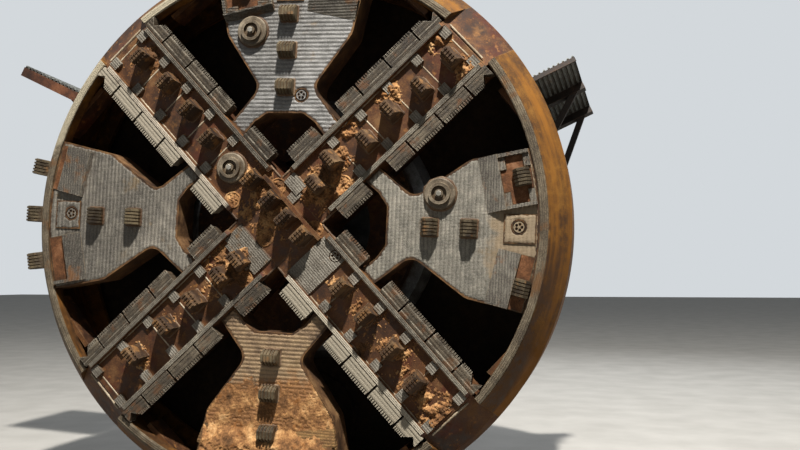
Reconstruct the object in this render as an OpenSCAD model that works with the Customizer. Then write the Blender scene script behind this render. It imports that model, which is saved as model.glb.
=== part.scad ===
// Cutterhead of a soft-ground tunnel boring machine on its bearing carrier.
// The head faces -Y and turns about the Y axis. +Z is up, +X is to the right as seen from the face.
// The origin is the centre of the carrier's rear flange. Millimetres.

/* [Overall] */
// Distance from the rear flange face to the front plane of the head
overall_depth = 1800; // [1750:10:1900]
// Depth of the turning drum
head_depth = 700; // [660:10:740]
// Running gap between the drum and the stationary shell
axial_gap = 15; // [8:1:25]
// Clockwise turn of the head at rest, seen from the face, in degrees
head_turn = 2.66; // [-5:0.01:5]

/* [Drum] */
// Outer radius of the drum
drum_r = 2100; // [2060:5:2160]
// Width of the bevel between the drum's side and its front edge, along the radius
bevel_width = 150; // [130:5:170]
// Depth of the bevel behind the front edge
bevel_depth = 230; // [180:10:280]
// Wall thickness of the drum
drum_wall = 65; // [50:5:80]
// Height of the hardfaced band in front of the drum edge
band_h = 18; // [10:1:30]

/* [Spokes] */
// Half width of a spoke
spoke_half = 226; // [210:2:240]
// Thickness of a spoke's face plate
face_t = 60; // [40:5:80]
// Thickness of a spoke's side webs
web_t = 45; // [30:5:60]
// Depth of the spoke box at the hub
spoke_depth = 560; // [500:10:600]
// Depth of the spoke box at the rim
spoke_tip_depth = 420; // [360:10:480]
// Slope of the end plate that closes the drum's edge at a spoke, in degrees
end_slope = 40; // [35:1:45]
// Width of the ledge bar that backs the scrapers
ledge_w = 36; // [25:1:45]
// Height of the ledge bar above the spoke's face
ledge_h = 46; // [30:1:60]
// Gap between the ends of the ledge bars and the drum's wall
ledge_short = 35; // [15:5:85]

/* [Scrapers] */
// Width of a scraper across the spoke's edge
scraper_w = 100; // [80:2:110]
// Thickness of a scraper
scraper_t = 92; // [70:2:110]
// Gap between neighbouring scrapers
scraper_gap = 8; // [4:1:15]
// Number of carbide teeth on a scraper
tooth_count = 13; // [9:1:15]
// How far the teeth stand out from the scraper's edge
tooth_out = 14; // [8:1:20]

/* [Rippers] */
// Length of a ripper's ridge, across the spoke
ripper_l = 122; // [100:2:140]
// Width of a ripper's foot, along the spoke
ripper_w = 112; // [90:2:130]
// Height of a spoke ripper
ripper_h = 165; // [130:5:200]
// Height of a panel ripper
panel_ripper_h = 85; // [60:5:110]
// Width of the ridge at the top of a ripper
ridge_w = 44; // [30:2:60]
// Number of carbide studs or ribs across a ripper
stud_count = 5; // [4:1:7]
// Height of the studs and ribs
stud_h = 9; // [6:1:14]

/* [Panels] */
// Thickness of a face panel
panel_t = 75; // [55:5:95]
// Radius of the straight inner edge of a panel
panel_in_r = 805; // [790:5:815]
// Half width of a panel at its neck
neck_half = 207; // [190:1:220]
// Thickness of the rib behind a panel
panel_rib_t = 50; // [30:5:70]
// Thickness of the wall round a panel
panel_wall_t = 40; // [25:5:50]
// Depth of the wall round a panel, from its face
panel_wall_depth = 260; // [200:10:300]

/* [Carrier] */
// Step from the drum's side down to the stationary shell
shell_step = 50; // [20:5:100]
// Wall thickness of the shell
shell_wall = 50; // [35:5:65]
// Width of the rear flange, along the radius
flange_w = 180; // [160:5:200]
// Thickness of the rear flange
flange_t = 45; // [30:5:60]
// Distance of the bolt circle from the shell's outside
bolt_inset = 115; // [105:5:125]
// Number of bolt holes in the rear flange
bolt_count = 36; // [24:4:48]
// Radius of a bolt hole
bolt_hole_r = 17; // [12:1:22]
// Radius of the bearing that carries the head
bearing_r = 690; // [660:5:720]
// Radial running clearance in the bearing
bearing_clear = 0.1; // [0.02:0.01:0.1]
// Number of drive units
drive_count = 8; // [6:1:8]

/* [Side decks] */
// Length of a side deck along the machine
deck_l = 980; // [850:10:1000]
// Width of one corrugation of a side deck
deck_pitch = 40; // [30:2:50]
// Height of the corrugations
deck_fold_h = 22; // [15:1:30]

/* [Hidden] */
// Smoothness of the large and of the small round parts
big_fn = 180;
small_fn = 48;
// Gap left at a welded or bolted seat between round faces
seat = 0.3;
// Spare length that carries a cut past a face
past = 5;

// Rim
edge_r = drum_r - bevel_width;
drum_in_r = drum_r - drum_wall;
edge_in_r = edge_r - drum_wall;
lip_depth = 90;
edge_end = lip_depth + bevel_depth * 0.75;
back_ring_w = 120;
back_ring_t = 50;
shell_front = head_depth + axial_gap;

// Spokes stand at 45 degrees to the panels
NE = 45;
SE = 135;
SW = 225;
NW = 315;
ledge_out = spoke_half;
ledge_in = ledge_out - ledge_w;
ledge_end = edge_in_r - ledge_short - 10;
ledge_start = spoke_half + 96;
web_knee_r = 1000;
web_tip_flat = 100;
scraper_in = spoke_half + seat;
scraper_front = -ledge_h + 6;
shoulder_w = 70;
shoulder_t = 40;
shoulder_front = scraper_front + scraper_t + seat;
end_start = edge_in_r - ledge_short;
end_drop = (drum_r - end_start) * tan(end_slope);

// Scrapers along a spoke's edge: start radius, length, taper of the outer end
SCRAPER_ROW = [
    [spoke_half + 166, 272, 0],
    [edge_in_r - 999, 196, 0],
    [edge_in_r - 795, 272, 0],
    [edge_in_r - 515, 272, 0],
    [edge_in_r - 235, 205, 55]
];

// Tool places are drawn for this radius of the drum's edge, and spread with it
tool_edge_r = 1885;
spread = edge_in_r / tool_edge_r;
// Rows of studs on a spoke ripper: place up the ripper as a share of its height, place along the spoke in ridge widths
STUD_ROWS = [[1, 0.28], [1, -0.28], [0.84, -0.8]];
stud_w = 14;
stud_l = 18;
// Rippers on each spoke: radius, offset clockwise from the spoke's centre line
RIPPERS_NE = [[1714, 30], [1420, 35], [1150, 0], [882, 35], [599, -45], [400, 10]];
RIPPERS_SE = [[681, -44], [950, -44], [1248, -24], [1524, 10]];
RIPPERS_SW = [[405, -14], [583, -7], [862, 5], [1151, 15], [1480, 20]];
RIPPERS_NW = [[1658, 45], [1367, 70], [1090, 60], [815, 32], [360, 70]];
RIPPERS_HUB = [[150, 70], [-30, 70], [-205, 70]];

// Rippers on each panel: radius, offset clockwise from the panel's middle line
PANEL_RIPPERS_N = [[995, 0], [1271, 0], [1542, 0]];
PANEL_RIPPERS_E = [[1121, 0], [1399, 0]];
PANEL_RIPPERS_S = [[983, 0], [1243, 0], [1531, 0]];
PANEL_RIPPERS_W = [[1165, 0], [1479, 0]];
// Gauge rippers stand on the drum's bevel, square to it
bevel_angle = atan2(drum_r - edge_r, bevel_depth);
gauge_ripper_along = 60;
gauge_ripper_h = 105;
GAUGE_X = [-353, 0, 353];

// Wear blocks in pairs along a spoke
wear_first = 692;
wear_pitch = 279;
wear_pairs = 5;
wear_w = 74;
wear_l = 70;
wear_h = 28;
wear_x = 148;

// Panel outline, right half: lateral place, radius, corner rounding
horn_in_s = 672;
horn_out_s = 812;
function on_spoke(s, d) = [(s - d) / sqrt(2), (s + d) / sqrt(2)];
horn_c = on_spoke(horn_in_s, spoke_half + seat);
horn_d = on_spoke(horn_out_s, spoke_half + seat);
PANEL_HALF = [
    [140, panel_in_r, 50],
    [235, panel_in_r - 68, 30],
    [horn_c[0], horn_c[1], 0],
    [horn_d[0], horn_d[1], 0],
    [neck_half, panel_in_r + 190, 100],
    [neck_half + 278, edge_in_r - 495, 120],
    [neck_half + 427, drum_r, 0]
];

// Seams where the two horns are welded on, from the inner edge's corner out to the neck
seam_from = [PANEL_HALF[0][0], panel_in_r];
seam_to = [neck_half + 40, panel_in_r + 190];
seam_lead = 12;

rib_start = panel_in_r + 90;
rib_rise = 60;
rib_tip_flat = 150;

// Gauge blocks, each in a frame turned from the panel's middle: turn, radius of the ramp's foot, of its ridge and of
// its end, start and end across, height, number of bars that frame the pocket behind, radius of the ripper there or 0
gauge_turn = 12.2;
GAUGE_N = [[-gauge_turn, 1556, 1600, 1612, -175, 215, 50, 2, 1795],
           [gauge_turn, 1558, 1688, 1700, -200, 175, 50, 0, 1795]];
GAUGE_E = [[-gauge_turn, 1513, 1638, 1650, -175, 215, 50, 2, 1795],
           [gauge_turn, 1600, 1750, 1762, -215, 175, 30, 0, 1822]];
GAUGE_S = [[-gauge_turn, 1513, 1638, 1650, -175, 215, 50, 2, 0],
           [gauge_turn, 1558, 1688, 1700, -200, 175, 50, 0, 0]];
GAUGE_W = [[-gauge_turn, 1600, 1726, 1738, -150, 215, 40, 1, 0],
           [gauge_turn, 1600, 1612, 1810, -200, 150, 36, 0, 0]];
ramp_toe = 6;
pocket_out_r = edge_in_r - 8;
bar_w = 24;
corner_w = 90;
corner_l = 44;
corner_t = 24;
pocket_plate_t = 10;
pocket_ripper_x = 12;

// Ports for foam in the panels, as places across and along the radius, and the raised plates that carry some of them
port_r = 46;
port_groove = 8;
port_depth = 26;
port_holes = 5;
port_plate_t = 12;
PORTS_N = [[118, 938], [0, 1745]];
PORTS_E = [[-22, 1745]];
PORTS_S = [[311, 1257], [0, 1745]];
PORTS_W = [[12, 1690]];
// Start and end across, start and end along the radius
PORT_PLATES_E = [[-112, 92, 1640, 1866]];
PORT_PLATES_N = [[-105, 105, 1640, 1866]];
PORT_PLATES_W = [[-105, 108, 1615, 1820]];

// Hardfaced plates round the hub: angle, start and end across, start and end along the radius, thickness
HUB_PLATES = [
    [SE, -189, 189, 315, 545, 16],
    [SW, -160, 189, 228, 395, 16],
    [SW, -98, 145, 395, 420, 26],
    [NE, -189, -50, 228, 330, 20],
    [NE, -95, -25, 163, 262, 12]
];
hub_port = [SE, -148, 476];
// Bar across the hub beside its rippers, in the frame of the lower right spoke
hub_bar = [-162, -133, -325, 310, 40];

// Capped nozzles: angle, lateral place, radius
CAPS = [[NW, 0, 549], [0, -280, 1412], [90, -236, 1185]];
cap_r = 112;
cap_h = 62;

// Bucket lips
lip_angle = 26.5;
lip_tilt = 14;
lip_r = drum_in_r - 90;
lip_l = 470;
lip_w = 190;
lip_t = 36;

// Carrier
shell_r = drum_r - shell_step;
shell_in_r = shell_r - shell_wall;
flange_in_r = shell_r - flange_w;
bolt_circle_r = shell_r - bolt_inset;
bulkhead_front = shell_front + 85;
bulkhead_t = 60;
housing_out_r = bearing_r + 360;
housing_len = 520;
drive_r = housing_out_r + 220;
drive_foot_r = 190;
drive_foot_t = 55;
gear_r = 150;
gear_end = 335;
brake_r = 165;
brake_end = 378;
motor_r = 110;
motor_end = 560;
port_z = shell_in_r - 470;
port_bore_r = 300;
port_wall = 45;
port_len = 560;
port_flange_w = 60;
port_flange_t = 40;
port_bolts = 16;
port_bolt_r = 12;
gate_t = 40;
gate_w = 70;
rib_t = 40;

// Side decks: angle of the inner front corner above level, its height off the shell, rise outward, fall towards the
// back, width, height of the front edge bar, and the angles at which the two knee braces stand on the shell
DECK_RIGHT = [32.7, 32, 24.3, 16.9, 400, 30, [19.8, 12.1]];
DECK_LEFT = [29.8, 24, 25.7, 2, 980, 72, [19, 19]];
deck_front = shell_front + 60;
deck_sheet = 8;
deck_edge_t = 12;
beam = 60;
brace = 50;
// Places of the two beams along a deck and of the knee braces along a beam, as shares
BEAM_PLACES = [0.40, 0.85];
knee_place = 0.8;

function arc_points(c, r, a0, a1, n) = [for (i = [0:n]) let (a = a0 + (a1 - a0) * i / n) c + r * [cos(a), sin(a)]];
function unit(v) = v / norm(v);
// Rounds the corner b between a and c with radius r
function corner(a, b, c, r, n) =
    let (u = unit(a - b), v = unit(c - b), half = acos(max(-1, min(1, u * v))) / 2)
    r <= 0 ? [b] :
    let (t = r / tan(half), m = b + unit(u + v) * (r / sin(half)),
         p = b + u * t - m, q = b + v * t - m,
         a0 = atan2(p[1], p[0]), turn = atan2(p[0] * q[1] - p[1] * q[0], p * q))
    [for (i = [0:n]) m + r * [cos(a0 + turn * i / n), sin(a0 + turn * i / n)]];
// Outline through points [x, y, radius] with each corner rounded
function rounded(pts, n = 8) =
    let (k = len(pts))
    [for (i = [0:k - 1])
        let (a = pts[(i + k - 1) % k], b = pts[i], c = pts[(i + 1) % k])
        each corner([a[0], a[1]], [b[0], b[1]], [c[0], c[1]], b[2], n)];
// Moves each side of an outline that runs counter-clockwise inward by d, and its corner radii with it
function inset(pts, d) =
    let (k = len(pts))
    [for (i = [0:k - 1])
        let (a = pts[(i + k - 1) % k], b = pts[i], c = pts[(i + 1) % k],
             u = unit([b[0] - a[0], b[1] - a[1]]), v = unit([c[0] - b[0], c[1] - b[1]]),
             side = u[0] * v[1] - u[1] * v[0])
        [b[0] - d * (u[1] + v[1]) / (1 + u * v), b[1] + d * (u[0] + v[0]) / (1 + u * v),
         b[2] == 0 ? 0 : max(1, b[2] - sign(side) * d)]];
function mirrored(pts) = [for (i = [len(pts) - 1:-1:0]) [-pts[i][0], pts[i][1], pts[i][2]]];

// The frame of the head: front plane at y = 0, depth along +Y, turned to its rest angle
module head_frame() translate([0, -overall_depth, 0]) rotate([0, head_turn, 0]) children();
// The frame of the carrier: front plane of the head at y = 0
module carrier_frame() translate([0, -overall_depth, 0]) children();
// Turns a panel or spoke that points up to its clock angle
module at_angle(a) rotate([0, a, 0]) children();
// Plate of an outline in X and Z, from y0 to y1
module plate(y0, y1) translate([0, y1, 0]) rotate([90, 0, 0]) linear_extrude(y1 - y0) children();
// Prism of an outline in radius (X) and depth (Y), from x0 to x1 across a spoke that points up
module side_prism(x0, x1) translate([x1, 0, 0]) rotate([0, -90, 0]) linear_extrude(x1 - x0) children();
// Solid of revolution about Y of an outline in radius (X) and depth (Y)
module revolve(fn = big_fn) rotate([-90, 0, 0]) rotate_extrude($fn = fn) children();
module box(x0, x1, y0, y1, z0, z1) translate([x0, y0, z0]) cube([x1 - x0, y1 - y0, z1 - z0]);
// Cylinder along Y
module rod_y(r, y0, y1, fn = small_fn) translate([0, y0, 0]) rotate([-90, 0, 0]) cylinder(r = r, h = y1 - y0, $fn = fn);

// Space inside the drum, less a seat gap
module drum_bore(gap)
    revolve() polygon([
        [0, -400], [edge_in_r - gap, -400], [edge_in_r - gap, lip_depth],
        [drum_in_r - gap, edge_end],
        [drum_in_r - gap, head_depth + past], [0, head_depth + past]]);

// Slots through the drum's edge where the spokes come out
module spoke_slots()
    for (a = [NE, SE, SW, NW]) at_angle(a)
        box(-spoke_half - seat, spoke_half + seat, -band_h - past, edge_end + past, 0, drum_r + past);

// The rolled barrel behind the edge, with its stiffening ring
module rim_drum()
    color("#8a5a26") head_frame()
        revolve() polygon([
            [drum_r, edge_end], [drum_r, head_depth],
            [drum_in_r - back_ring_w, head_depth], [drum_in_r - back_ring_w, head_depth - back_ring_t],
            [drum_in_r, head_depth - back_ring_t], [drum_in_r, edge_end]]);

// The bevelled edge in eight segments, one from each side of a spoke to the middle of a panel
module rim_edge()
    color("#8a5a26") head_frame() difference() {
        revolve() polygon([
            [edge_in_r, 0], [edge_r, 0], [drum_r, bevel_depth], [drum_r, edge_end],
            [drum_in_r, edge_end], [edge_in_r, lip_depth]]);
        spoke_slots();
        for (a = [0:90:270]) at_angle(a)
            box(-seat / 2, seat / 2, -past, edge_end + past, 0, drum_r + past);
    }

module rim_band()
    color("#8f897c") head_frame() difference() {
        revolve() polygon([
            [edge_in_r + 2, 0], [edge_in_r + 2, -band_h + 5], [edge_in_r + 8, -band_h],
            [edge_r - 22, -band_h], [edge_r - 4, -band_h + 10], [edge_r - 4, 0]]);
        spoke_slots();
    }

// Space for a spoke: inside the barrel, and through the slots as far as the drum's outside
module spoke_room()
    revolve() polygon([
        [0, -400], [edge_r, -400], [edge_r, 0], [drum_r, bevel_depth], [drum_r, edge_end - seat],
        [drum_in_r - seat, edge_end - seat], [drum_in_r - seat, head_depth + past], [0, head_depth + past]]);

// One spoke: a box girder with a face plate, a sloping end plate, two webs, ledge bars and scraper shoulders
module spoke(a) {
    tip = edge_in_r;
    color("#6e4a34") head_frame() at_angle(a) intersection() {
        union() {
            side_prism(-spoke_half, spoke_half)
                polygon([[spoke_half, 0], [end_start, 0], [drum_r, end_drop],
                         [drum_r, end_drop + face_t], [end_start, face_t], [spoke_half, face_t]]);
            for (s = [-1, 1]) {
                x0 = s > 0 ? spoke_half - web_t : -spoke_half;
                side_prism(x0, x0 + web_t)
                    polygon([[spoke_half, face_t / 2], [end_start, face_t / 2],
                             [drum_r, end_drop + face_t / 2], [drum_r, spoke_tip_depth],
                             [tip - web_tip_flat, spoke_tip_depth], [web_knee_r, spoke_depth], [spoke_half, spoke_depth]]);
                xl = s > 0 ? ledge_in : -ledge_out;
                side_prism(xl, xl + ledge_w)
                    polygon([[ledge_start, past], [ledge_start, -ledge_h + 12], [ledge_start + 24, -ledge_h],
                             [ledge_end - 20, -ledge_h], [ledge_end, -ledge_h + 20], [ledge_end, past]]);
                for (row = SCRAPER_ROW) {
                    xs = s > 0 ? spoke_half - past : -spoke_half - shoulder_w;
                    box(xs, xs + shoulder_w + past, shoulder_front, shoulder_front + shoulder_t,
                        row[0] + 10, min(row[0] + row[1] - 10, tip - 40));
                }
            }
        }
        spoke_room();
    }
}

// One scraper with its teeth along the edge that faces the opening
module scraper(length, taper) {
    pitch = length / tooth_count;
    // The outline runs across the scraper: place from the spoke outward, depth
    module body_outline() polygon([
        [0, 0], [8, -4], [26, -4], [30, 0], [scraper_w - 16, 0], [scraper_w, 14],
        [scraper_w - 10, scraper_t], [0, scraper_t]]);
    difference() {
        union() {
            linear_extrude(length) body_outline();
            for (i = [0:tooth_count - 1])
                translate([scraper_w - 12, 4, pitch * (i + 0.22)])
                    cube([12 + tooth_out, 20, pitch * 0.56]);
        }
        if (taper > 0)
            translate([scraper_w * 0.45, -past * 3, length - taper])
                rotate([0, 40, 0]) cube([200, scraper_t + 6 * past, 200]);
    }
}

module scrapers(a)
    color("#8b8474") head_frame() at_angle(a)
        for (s = [0, 1], row = SCRAPER_ROW)
            mirror([s, 0, 0]) translate([scraper_in, scraper_front, row[0]])
                scraper(row[1] - scraper_gap, row[2]);

// Slab of a ripper's section, from x0 to x1 along its ridge, grown by g above the foot
module ripper_slab(h, x0, x1, g)
    translate([x0, 0, 0]) rotate([90, 0, 90]) linear_extrude(x1 - x0)
        polygon([[0, -ripper_w / 2], [-h * 0.55, -ripper_w / 2 + 6 - g], [-h - g, -ridge_w / 2 - g / 2],
                 [-h - g, ridge_w / 2 + g / 2], [-h * 0.55, ripper_w / 2 - 6 + g], [0, ripper_w / 2]]);

// Ripper of a panel: a foot, straight flanks and a roof-shaped top with ribs that run over its ridge
module ribbed_ripper(h) {
    pitch = ripper_l / stud_count;
    ripper_slab(h, -ripper_l / 2, ripper_l / 2, 0);
    for (i = [0:stud_count - 1])
        ripper_slab(h, (i - stud_count / 2 + 0.2) * pitch, (i - stud_count / 2 + 0.8) * pitch, stud_h);
}

// Ripper of a spoke: the same section with rows of carbide studs on its ridge and on its inner slope
module studded_ripper(h) {
    ripper_slab(h, -ripper_l / 2, ripper_l / 2, 0);
    for (i = [0:stud_count - 1], row = STUD_ROWS)
        translate([((i + 0.5) / stud_count - 0.5) * ripper_l, -h * row[0], ridge_w * row[1]])
            cube([stud_w, 2 * stud_h, stud_l], center = true);
}

module ripper_set(a, places)
    color("#6b5545") head_frame() at_angle(a)
        for (p = places) translate([p[1], 0, p[0] * spread]) studded_ripper(ripper_h);

// Room for the feet of a spoke's rippers
module ripper_feet(a, places)
    at_angle(a) for (p = places) translate([p[1], 0, p[0] * spread])
        cube([ripper_l + 2 * seat, 2 * past + 2 * ripper_w, ripper_w + 2 * seat], center = true);

// Cut for a foam port: a ring groove round a plug with a circle of small holes
module port_cut(front, depth) {
    difference() {
        rod_y(port_r, front - past, depth);
        rod_y(port_r - port_groove, front - 2 * past, depth + past);
    }
    for (i = [0:port_holes - 1]) rotate([0, i * 360 / port_holes, 0]) translate([0, 0, port_r * 0.45])
        rod_y(port_r * 0.19, front - past, depth);
}

module horn_seams() {
    along = unit(seam_to - seam_from);
    across = seat * [along[1], -along[0]];
    start = seam_from - seam_lead * along;
    for (s = [0, 1]) mirror([s, 0, 0])
        plate(-past, spoke_tip_depth + past) polygon([start, start + across, seam_to + across, seam_to]);
}

// One panel: the vase-shaped face plate with a wall round it, a rear rib, raised port plates and ports
module panel(a, ports, plates) {
    points = concat(PANEL_HALF, mirrored(PANEL_HALF));
    color("#8a8478") head_frame() at_angle(a) difference() {
        union() {
            intersection() {
                union() {
                    plate(0, panel_t) polygon(rounded(points));
                    difference() {
                        plate(panel_t - past, panel_wall_depth) polygon(rounded(points));
                        plate(panel_t - 2 * past, panel_wall_depth + past) polygon(rounded(inset(points, panel_wall_t)));
                    }
                    side_prism(-panel_rib_t / 2, panel_rib_t / 2)
                        polygon([[rib_start, panel_t - past], [drum_r, panel_t - past],
                                 [drum_r, spoke_tip_depth], [edge_in_r - rib_tip_flat, spoke_tip_depth],
                                 [rib_start, panel_t + rib_rise]]);
                }
                drum_bore(seat);
            }
            for (p = plates) box(p[0], p[1], -port_plate_t, past, p[2] * spread, p[3] * spread);
        }
        for (p = ports) translate([p[0], 0, p[1] * spread]) port_cut(-port_plate_t, port_depth);
        horn_seams();
    }
}

// Brown plate that lines the pocket behind a gauge block's ramp
module pocket_plate(g) {
    x_far = max(-g[4], g[5]);
    z0 = g[3] * spread + seat;
    z1 = sqrt(pow(pocket_out_r, 2) - pow(x_far, 2));
    side_gap = g[7] == 2 ? corner_w : 0;
    x0 = g[4] + (g[7] > 0 ? bar_w + seat : 0);
    x1 = g[5] - (g[7] > 1 ? bar_w + seat : 0);
    box(x0 + side_gap, x1 - side_gap, -pocket_plate_t, 0, z0, z1);
    if (g[7] == 2)
        box(x0, x1, -pocket_plate_t, 0, z0 + corner_l + seat, z1 - corner_l - seat);
}

module panel_tools(a, places, gauge_places, blocks)
    color("#7a6650") head_frame() at_angle(a) {
        for (p = places) translate([p[1], 0, p[0] * spread]) ribbed_ripper(panel_ripper_h);
        for (g = blocks) at_angle(g[0]) {
            pocket_plate(g);
            if (g[8] > 0) translate([pocket_ripper_x, 0, g[8] * spread]) ribbed_ripper(panel_ripper_h);
        }
        for (x = gauge_places) rotate([0, asin(x / edge_r), 0])
            translate([0, 0, edge_r]) rotate([-90 + bevel_angle, 0, 0])
                translate([0, -seat, gauge_ripper_along]) ribbed_ripper(gauge_ripper_h);
    }

// Gauge block at a panel's outer end: a ramp, the bars that frame the pocket behind it, and the pocket's corner pads
module gauge_block(g) {
    foot = g[1] * spread;
    ridge = g[2] * spread;
    end = g[3] * spread;
    h = g[6];
    x_far = max(-g[4], g[5]);
    z1 = sqrt(pow(pocket_out_r, 2) - pow(x_far, 2));
    side_prism(g[4], g[5])
        polygon([[foot, 0], [foot, -ramp_toe], [ridge, -h], [end, -h], [end, 0]]);
    if (g[7] > 0) box(g[4], g[4] + bar_w, -h * 0.8, 0, end, z1);
    if (g[7] > 1) {
        box(g[5] - bar_w, g[5], -h * 0.8, 0, end, z1);
        for (x = [g[4] + bar_w, g[5] - bar_w - corner_w], z = [end, z1 - corner_l])
            box(x, x + corner_w, -corner_t, 0, z, z + corner_l);
    }
}

module gauge(a, blocks)
    color("#857d6f") head_frame() at_angle(a)
        for (g = blocks) at_angle(g[0]) gauge_block(g);

// Hardfaced pads in pairs along the spokes, and the plates round the hub
module wear_blocks()
    color("#8f8b80") head_frame() {
        for (a = [NE, SE, SW, NW], i = [0:wear_pairs - 1], s = [-1, 1])
            at_angle(a) translate([s * wear_x, -wear_h / 2, (wear_first + i * wear_pitch) * spread])
                cube([wear_w, wear_h, wear_l], center = true);
        difference() {
            for (p = HUB_PLATES) at_angle(p[0]) box(p[1], p[2], -p[5], 0, p[3], p[4]);
            at_angle(hub_port[0]) translate([hub_port[1], 0, hub_port[2]]) port_cut(-port_plate_t - past, past);
            ripper_feet(NE, RIPPERS_NE);
            ripper_feet(SE, RIPPERS_SE);
            ripper_feet(SW, RIPPERS_SW);
            ripper_feet(NW, RIPPERS_HUB);
        }
    }

module nozzle_caps()
    color("#7d6f5d") head_frame()
        for (c = CAPS) at_angle(c[0]) translate([c[1], 0, c[2] * spread])
            revolve(small_fn) polygon([
                [0, 0], [cap_r, 0], [cap_r, -cap_h * 0.55], [cap_r - 8, -cap_h * 0.65],
                [cap_r * 0.72, -cap_h * 0.65], [cap_r * 0.68, -cap_h], [cap_r * 0.5, -cap_h],
                [cap_r * 0.5, -cap_h * 0.6], [cap_r * 0.26, -cap_h * 0.6],
                [cap_r * 0.26, -cap_h * 1.05], [0, -cap_h * 1.05]]);

// Plates inside the drum behind each opening, which lift the spoil
module bucket_lips()
    color("#6a4526") head_frame() intersection() {
        for (a = [0:90:270], s = [0, 1])
            at_angle(a) mirror([s, 0, 0]) rotate([0, lip_angle, 0]) translate([-lip_l * 0.55, lip_depth + 20, lip_r])
                rotate([0, lip_tilt, 0]) cube([lip_l, lip_w, lip_t]);
        drum_bore(seat);
    }

module hub()
    color("#6e4a34") head_frame() rotate([0, 45, 0]) {
        box(-spoke_half, spoke_half, 0, face_t, -spoke_half, spoke_half);
        for (s = [-1, 1]) {
            box(s * (spoke_half - web_t / 2) - web_t / 2, s * (spoke_half - web_t / 2) + web_t / 2,
                face_t, spoke_depth, -spoke_half, spoke_half);
            box(-spoke_half + web_t, spoke_half - web_t, face_t, spoke_depth,
                s * (spoke_half - web_t / 2) - web_t / 2, s * (spoke_half - web_t / 2) + web_t / 2);
        }
        at_angle(SE - NE) box(hub_bar[0], hub_bar[1], -hub_bar[4], 0, hub_bar[2], hub_bar[3]);
    }

module rippers_hub()
    color("#6b5545") head_frame() at_angle(NW)
        for (p = RIPPERS_HUB) translate([p[1], 0, p[0] * spread]) studded_ripper(ripper_h);

module drive_flange()
    color("#6a4a30") head_frame()
        revolve() polygon([
            [bearing_r - 150, spoke_depth + seat], [bearing_r + 210, spoke_depth + seat],
            [bearing_r + 210, head_depth], [bearing_r - 150, head_depth]]);

module bearing_spigot()
    color("#77797a") head_frame()
        revolve() polygon([
            [bearing_r - 130, head_depth], [bearing_r, head_depth],
            [bearing_r, shell_front + housing_len - 60], [0, shell_front + housing_len - 60],
            [0, shell_front + housing_len - 110], [bearing_r - 130, shell_front + housing_len - 110]]);

module shell()
    color("#7a5230") carrier_frame() difference() {
        revolve() polygon([
            [shell_in_r, shell_front], [shell_r, shell_front], [shell_r, overall_depth],
            [flange_in_r, overall_depth], [flange_in_r, overall_depth - flange_t],
            [shell_in_r, overall_depth - flange_t]]);
        for (i = [0:bolt_count - 1]) rotate([0, (i + 0.5) * 360 / bolt_count, 0])
            translate([0, 0, bolt_circle_r]) rod_y(bolt_hole_r, overall_depth - flange_t - past, overall_depth + past);
    }

module bulkhead()
    color("#3a332c") carrier_frame() difference() {
        revolve() polygon([
            [housing_out_r + seat, bulkhead_front], [shell_in_r - seat, bulkhead_front],
            [shell_in_r - seat, bulkhead_front + bulkhead_t], [housing_out_r + seat, bulkhead_front + bulkhead_t]]);
        translate([0, 0, -port_z]) rod_y(port_bore_r, bulkhead_front - past, bulkhead_front + bulkhead_t + past);
    }

module bulkhead_ribs()
    color("#5a4636") carrier_frame() intersection() {
        for (i = [0:7]) if (i != 4) at_angle(i * 45)
            side_prism(-rib_t / 2, rib_t / 2)
                polygon([[housing_out_r - 50, bulkhead_front + bulkhead_t], [shell_r, bulkhead_front + bulkhead_t],
                         [shell_r, bulkhead_front + bulkhead_t + 220],
                         [housing_out_r + 150, shell_front + housing_len - 40],
                         [housing_out_r - 50, shell_front + housing_len - 40]]);
        revolve() polygon([[housing_out_r + seat, 0], [shell_in_r - seat, 0],
                           [shell_in_r - seat, overall_depth], [housing_out_r + seat, overall_depth]]);
    }

module bearing_housing()
    color("#5d5650") carrier_frame()
        revolve() polygon([
            [bearing_r + bearing_clear, shell_front], [housing_out_r - 60, shell_front],
            [housing_out_r, shell_front + 60], [housing_out_r, shell_front + housing_len],
            [bearing_r + bearing_clear, shell_front + housing_len]]);

module drive_units()
    color("#56604f") carrier_frame()
        for (i = [0:drive_count - 1]) at_angle((i + 0.5) * 360 / drive_count)
            translate([0, bulkhead_front + bulkhead_t, drive_r])
                revolve(small_fn) polygon([
                    [0, 0], [drive_foot_r, 0], [drive_foot_r, drive_foot_t], [gear_r, drive_foot_t],
                    [gear_r, gear_end], [brake_r, gear_end], [brake_r, brake_end],
                    [motor_r, brake_end], [motor_r, motor_end], [0, motor_end]]);

module muck_port() {
    y0 = bulkhead_front + bulkhead_t;
    y1 = y0 + port_len;
    out_r = port_bore_r + port_wall;
    color("#5d5650") carrier_frame() translate([0, 0, -port_z]) difference() {
        revolve(96) polygon([
            [port_bore_r, y0], [out_r + 20, y0], [out_r, y0 + 30], [out_r, y1 - port_flange_t],
            [out_r + port_flange_w, y1 - port_flange_t], [out_r + port_flange_w, y1], [port_bore_r, y1]]);
        for (i = [0:port_bolts - 1]) rotate([0, i * 360 / port_bolts, 0])
            translate([0, 0, out_r + port_flange_w / 2]) rod_y(port_bolt_r, y1 - port_flange_t - past, y1 + past);
    }
}

// Plate that shuts the spoil port in front of the bulkhead
module port_gate()
    color("#3a332c") carrier_frame() translate([0, 0, -port_z])
        revolve(96) polygon([
            [0, bulkhead_front - gate_t], [port_bore_r + gate_w - 10, bulkhead_front - gate_t],
            [port_bore_r + gate_w, bulkhead_front - gate_t + 10], [port_bore_r + gate_w, bulkhead_front],
            [0, bulkhead_front]]);

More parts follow.
